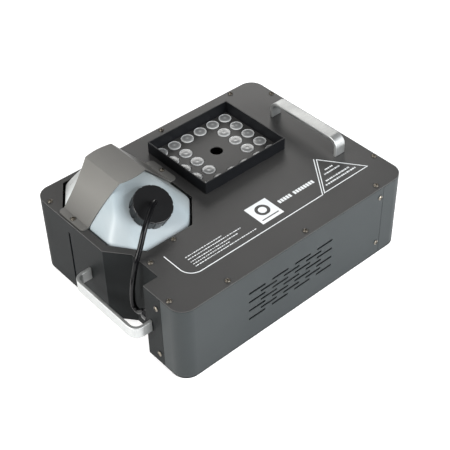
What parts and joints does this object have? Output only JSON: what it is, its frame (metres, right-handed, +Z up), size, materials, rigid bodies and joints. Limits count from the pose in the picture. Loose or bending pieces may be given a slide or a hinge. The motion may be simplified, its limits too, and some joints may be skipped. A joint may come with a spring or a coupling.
{
  "type": "fog machine",
  "caption": "Stage fog machine with an upward nozzle ringed by lamps, a strapped fluid tank with a screw cap and hose, two bow handles and a control panel.",
  "frame": {"origin": "on the floor, under the middle of the overall length and width", "axes": "+X from the tank end to the control end, +Y to the left side seen from the tank end, +Z up"},
  "size_m": [0.467, 0.335, 0.1965],
  "materials": {
    "case_paint": "charcoal powder coat, fine texture",
    "side_paint": "charcoal powder coat, fine texture, satin",
    "strap_paint": "warm grey powder coat, fine texture",
    "black_paint": "satin black paint",
    "base_steel": "black coated sheet steel",
    "handle_aluminium": "satin anodised aluminium",
    "screw_steel": "nickel plated steel",
    "zinc_sheet": "zinc plated sheet steel",
    "tank_plastic": "milky translucent moulded plastic",
    "cap_plastic": "black moulded plastic",
    "black_gloss": "glossy black nylon",
    "hose_rubber": "smooth black flexible tube",
    "foot_rubber": "matt black rubber",
    "clear_lens": "clear moulded lens",
    "led_chip": "lamp chip under a clear dome",
    "board_green": "circuit board",
    "board_white": "white solder mask on aluminium board",
    "brass": "turned brass",
    "burnt_brass": "turned brass, darkened by heat",
    "heater_cast": "cast aluminium",
    "wool": "woven glass insulation",
    "coil_blue": "moulded coil body",
    "tube_clear": "silicone tube",
    "copper": "copper tube",
    "spring_steel": "drawn spring wire",
    "fan_plastic": "black moulded plastic",
    "window_dark": "smoked display window",
    "button_plastic": "black moulded key",
    "socket_black": "black moulded socket",
    "rocker_red": "red translucent rocker"
  },
  "bodies": {
    "case": {"base_plate": "base_steel", "rubber_feet": "foot_rubber", "foot_screws": "screw_steel", "front_panel": "side_paint", "right_side_panel": "side_paint", "left_side_panel": "side_paint", "rear_panel": "side_paint", "top_cover": "case_paint", "cover_screws": "screw_steel", "panel_screws": "screw_steel", "fluid_tank": "tank_plastic", "tank_neck": "tank_plastic", "level_window": "window_dark", "pickup_tube": "hose_rubber", "pickup_filter": "brass", "tank_bay": "zinc_sheet", "tank_strap": "strap_paint", "top_handle": "handle_aluminium", "front_handle": "handle_aluminium", "handle_screws": "screw_steel", "hose_gland": "black_gloss", "gland_locknut": "black_gloss", "fluid_hose": "hose_rubber", "led_frame": "black_paint", "led_lenses": "clear_lens", "led_board": "board_white", "led_emitters": "led_chip", "led_spacers": "screw_steel", "heater_block": "heater_cast", "heating_rods": "spring_steel", "heater_wool": "wool", "heater_cover": "zinc_sheet", "heater_brackets": "zinc_sheet", "thermostat": "socket_black", "nozzle": "burnt_brass", "pump_body": "coil_blue", "pump_spring": "spring_steel", "suction_tube": "tube_clear", "pressure_tube": "copper", "fan_frame": "fan_plastic", "fan_bracket": "zinc_sheet", "power_supply": "zinc_sheet", "control_board": "board_green", "display_window": "window_dark", "dmx_input": "socket_black", "dmx_output": "socket_black", "power_inlet": "socket_black", "switch_housing": "socket_black", "fuse_holder": "socket_black"},
    "seal": {"cap_seal": "foot_rubber"},
    "cap": {"tank_cap": "cap_plastic"},
    "rotor": {"fan_rotor": "fan_plastic"},
    "plunger": {"pump_plunger": "spring_steel"},
    "key_menu": {"button_menu": "button_plastic"},
    "key_up": {"button_up": "button_plastic"},
    "key_down": {"button_down": "button_plastic"},
    "key_enter": {"button_enter": "button_plastic"},
    "latch": {"dmx_latch": "button_plastic"},
    "rocker": {"switch_rocker": "rocker_red"},
    "fuse": {"fuse_cap": "socket_black"}
  },
  "joints": [
    {"name": "cap_lift", "type": "slide", "parent": "case", "child": "seal", "axis": [0, -0.527, 0.8499], "range_m": [0, 0.008]},
    {"name": "cap_turn", "type": "hinge", "parent": "seal", "child": "cap", "pos_m": [-0.1167, 0.005, 0.15806], "axis": [0, -0.527, 0.8499], "range_deg": [0, 720]},
    {"name": "fan_spin", "type": "hinge", "parent": "case", "child": "rotor", "pos_m": [-0.0065, -0.149, 0.0735], "axis": [0, 1, 0], "continuous": true},
    {"name": "plunger_stroke", "type": "slide", "parent": "case", "child": "plunger", "axis": [0, 0, 1], "range_m": [0, 0.004], "stiffness_N_per_m": 300, "springref_m": -0.001, "deforming": ["pump_spring"]},
    {"name": "press_menu", "type": "slide", "parent": "case", "child": "key_menu", "axis": [-1, 0, 0], "range_m": [0, 0.0008], "stiffness_N_per_m": 400, "springref_m": -0.0004},
    {"name": "press_up", "type": "slide", "parent": "case", "child": "key_up", "axis": [-1, 0, 0], "range_m": [0, 0.0008], "stiffness_N_per_m": 400, "springref_m": -0.0004},
    {"name": "press_down", "type": "slide", "parent": "case", "child": "key_down", "axis": [-1, 0, 0], "range_m": [0, 0.0008], "stiffness_N_per_m": 400, "springref_m": -0.0004},
    {"name": "press_enter", "type": "slide", "parent": "case", "child": "key_enter", "axis": [-1, 0, 0], "range_m": [0, 0.0008], "stiffness_N_per_m": 400, "springref_m": -0.0004},
    {"name": "latch_press", "type": "slide", "parent": "case", "child": "latch", "axis": [-1, 0, 0], "range_m": [0, 0.0012], "stiffness_N_per_m": 300, "springref_m": -0.0005},
    {"name": "rocker_tilt", "type": "hinge", "parent": "case", "child": "rocker", "pos_m": [0.2225, -0.115, 0.094], "axis": [0, 1, 0], "range_deg": [0, 24]},
    {"name": "fuse_turn", "type": "hinge", "parent": "case", "child": "fuse", "pos_m": [0.2235, -0.063, 0.046], "axis": [1, 0, 0], "range_deg": [-60, 0]}
  ],
  "couplings": [
    {"joint": "cap_lift", "follows": "cap_turn", "m_per_rad": 0.00063662}
  ]
}
